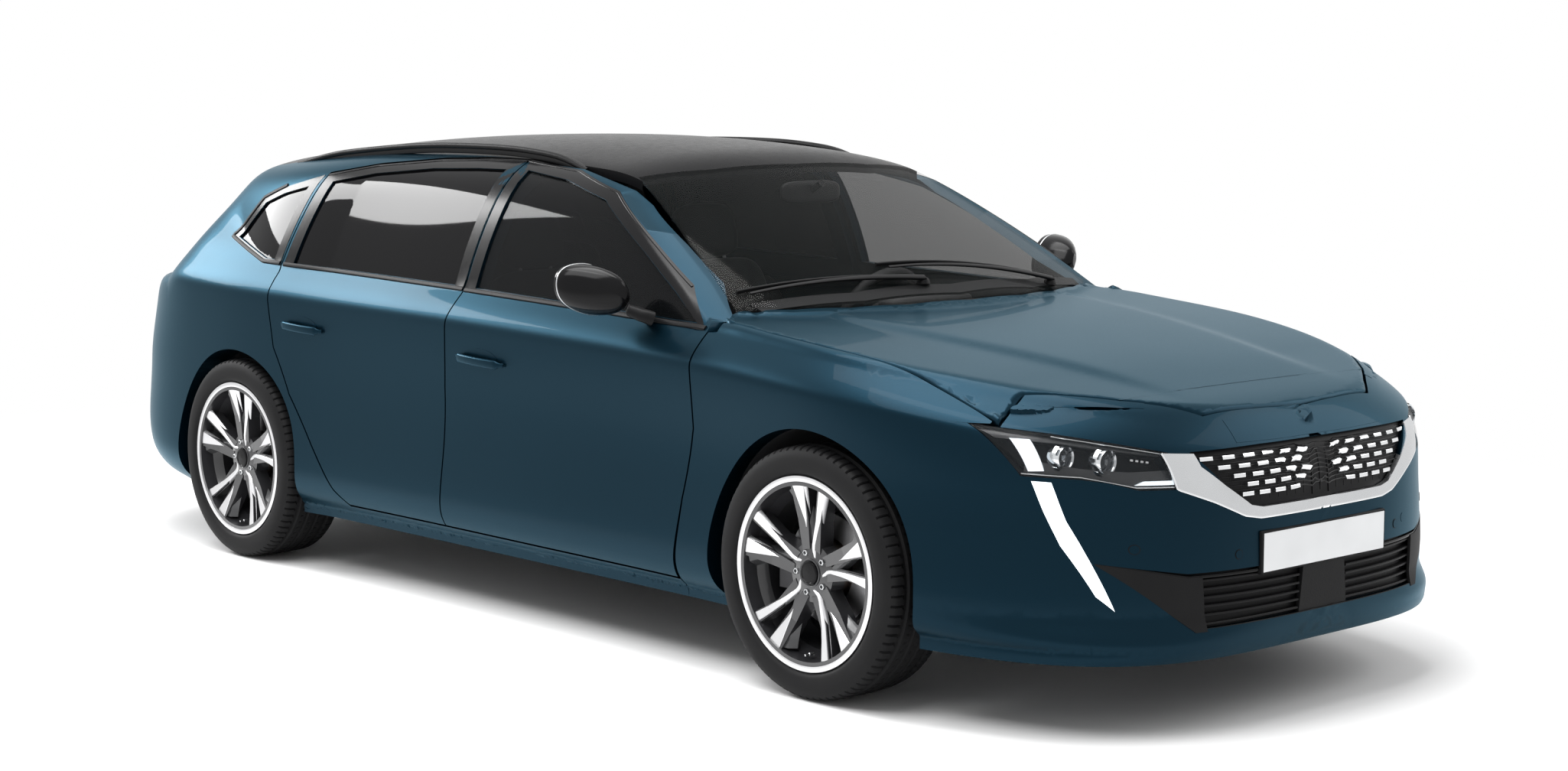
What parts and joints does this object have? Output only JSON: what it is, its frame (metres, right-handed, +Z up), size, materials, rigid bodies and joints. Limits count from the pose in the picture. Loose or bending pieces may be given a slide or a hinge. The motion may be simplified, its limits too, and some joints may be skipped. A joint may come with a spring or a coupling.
{
  "type": "station wagon",
  "caption": "Long-roofed family car with hinged doors, hood and tailgate, steered front wheels and four free-turning wheels on double-spoke rims.",
  "frame": {"origin": "middle of the bounding box at floor level", "axes": "+Z up, +Y towards the rear, the nose faces -Y, +X is the car's left side"},
  "size_m": [2.1164, 4.78, 1.4212],
  "materials": {
    "paint": "gloss",
    "clear_glass": "gloss",
    "dark_glass": "gloss",
    "roof": "gloss",
    "grille": "satin",
    "lamp": "gloss",
    "light_blade": "gloss",
    "red_lamp": "gloss",
    "under_metal": "matte",
    "black_trim": "gloss",
    "dash": "matte",
    "seat_cloth": "matte",
    "engine": "matte",
    "chassis": "matte",
    "cast": "matte",
    "tyre": "matte",
    "alloy": "satin",
    "disc": "brushed"
  },
  "bodies": {
    "body": {"front_bumper": "paint", "rear_bumper": "paint", "plate_carrier": "black_trim", "roof_panel": "roof", "windscreen": "clear_glass", "quarter_glasses": "dark_glass", "upper_grille": "grille", "lower_grille": "grille", "headlamps": "lamp", "running_light_blades": "light_blade", "corner_lamps": "red_lamp", "floorpan": "under_metal", "roof_rails": "black_trim", "dashboard": "dash", "front_seats": "seat_cloth", "rear_bench": "seat_cloth", "engine_block": "engine", "front_suspension": "chassis", "rear_suspension": "chassis", "body_side_left": "paint", "wing_left": "paint", "body_side_right": "paint", "wing_right": "paint"},
    "hood": {"hood": "paint"},
    "tailgate": {"tailgate": "paint", "tailgate_glass": "dark_glass", "tailgate_lamps": "red_lamp", "tailgate_spoiler": "paint"},
    "steering_wheel": {"steering_wheel": "dash"},
    "front_door_left": {"front_door_left": "paint", "front_door_glass_left": "clear_glass", "mirror_left": "black_trim"},
    "rear_door_left": {"rear_door_left": "paint", "rear_door_glass_left": "dark_glass"},
    "knuckle_left": {"knuckle_left": "cast"},
    "wheel_front_left": {"tyre_front_left": "tyre", "rim_front_left": "alloy", "disc_front_left": "disc"},
    "wheel_rear_left": {"tyre_rear_left": "tyre", "rim_rear_left": "alloy", "disc_rear_left": "disc"},
    "front_door_right": {"front_door_right": "paint", "front_door_glass_right": "clear_glass", "mirror_right": "black_trim"},
    "rear_door_right": {"rear_door_right": "paint", "rear_door_glass_right": "dark_glass"},
    "knuckle_right": {"knuckle_right": "cast"},
    "wheel_front_right": {"tyre_front_right": "tyre", "rim_front_right": "alloy", "disc_front_right": "disc"},
    "wheel_rear_right": {"tyre_rear_right": "tyre", "rim_rear_right": "alloy", "disc_rear_right": "disc"}
  },
  "joints": [
    {"name": "hood_hinge", "type": "hinge", "parent": "body", "child": "hood", "pos_m": [0, -0.935, 1], "axis": [-1, 0, 0], "range_deg": [0, 50]},
    {"name": "tailgate_hinge", "type": "hinge", "parent": "body", "child": "tailgate", "pos_m": [0, 1.852, 1.322], "axis": [1, 0, 0], "range_deg": [0, 78]},
    {"name": "steering_left", "type": "hinge", "parent": "body", "child": "knuckle_left", "pos_m": [0.745, -1.414, 0.335], "axis": [0, 0, 1], "range_deg": [-34, 34]},
    {"name": "steering_right", "type": "hinge", "parent": "body", "child": "knuckle_right", "pos_m": [-0.745, -1.414, 0.335], "axis": [0, 0, 1], "range_deg": [-34, 34]},
    {"name": "steering_wheel_turn", "type": "hinge", "parent": "body", "child": "steering_wheel", "pos_m": [0.3718, -0.3918, 0.8378], "axis": [0, 0.9272, 0.3746], "range_deg": [-510, 510]},
    {"name": "front_door_hinge_left", "type": "hinge", "parent": "body", "child": "front_door_left", "pos_m": [0.903, -0.925, 0.55], "axis": [0, 0, -1], "range_deg": [0, 66]},
    {"name": "rear_door_hinge_left", "type": "hinge", "parent": "body", "child": "rear_door_left", "pos_m": [0.905, 0.158, 0.55], "axis": [0, 0, -1], "range_deg": [0, 66]},
    {"name": "wheel_front_left_spin", "type": "hinge", "parent": "knuckle_left", "child": "wheel_front_left", "pos_m": [0.8, -1.414, 0.335], "axis": [1, 0, 0], "continuous": true},
    {"name": "wheel_rear_left_spin", "type": "hinge", "parent": "body", "child": "wheel_rear_left", "pos_m": [0.8, 1.379, 0.335], "axis": [1, 0, 0], "continuous": true},
    {"name": "front_door_hinge_right", "type": "hinge", "parent": "body", "child": "front_door_right", "pos_m": [-0.903, -0.925, 0.55], "axis": [0, 0, 1], "range_deg": [0, 66]},
    {"name": "rear_door_hinge_right", "type": "hinge", "parent": "body", "child": "rear_door_right", "pos_m": [-0.905, 0.158, 0.55], "axis": [0, 0, 1], "range_deg": [0, 66]},
    {"name": "wheel_front_right_spin", "type": "hinge", "parent": "knuckle_right", "child": "wheel_front_right", "pos_m": [-0.8, -1.414, 0.335], "axis": [1, 0, 0], "continuous": true},
    {"name": "wheel_rear_right_spin", "type": "hinge", "parent": "body", "child": "wheel_rear_right", "pos_m": [-0.8, 1.379, 0.335], "axis": [1, 0, 0], "continuous": true}
  ],
  "couplings": [
    {"joint": "steering_right", "follows": "steering_left", "ratio": 1},
    {"joint": "steering_wheel_turn", "follows": "steering_left", "ratio": 15}
  ]
}
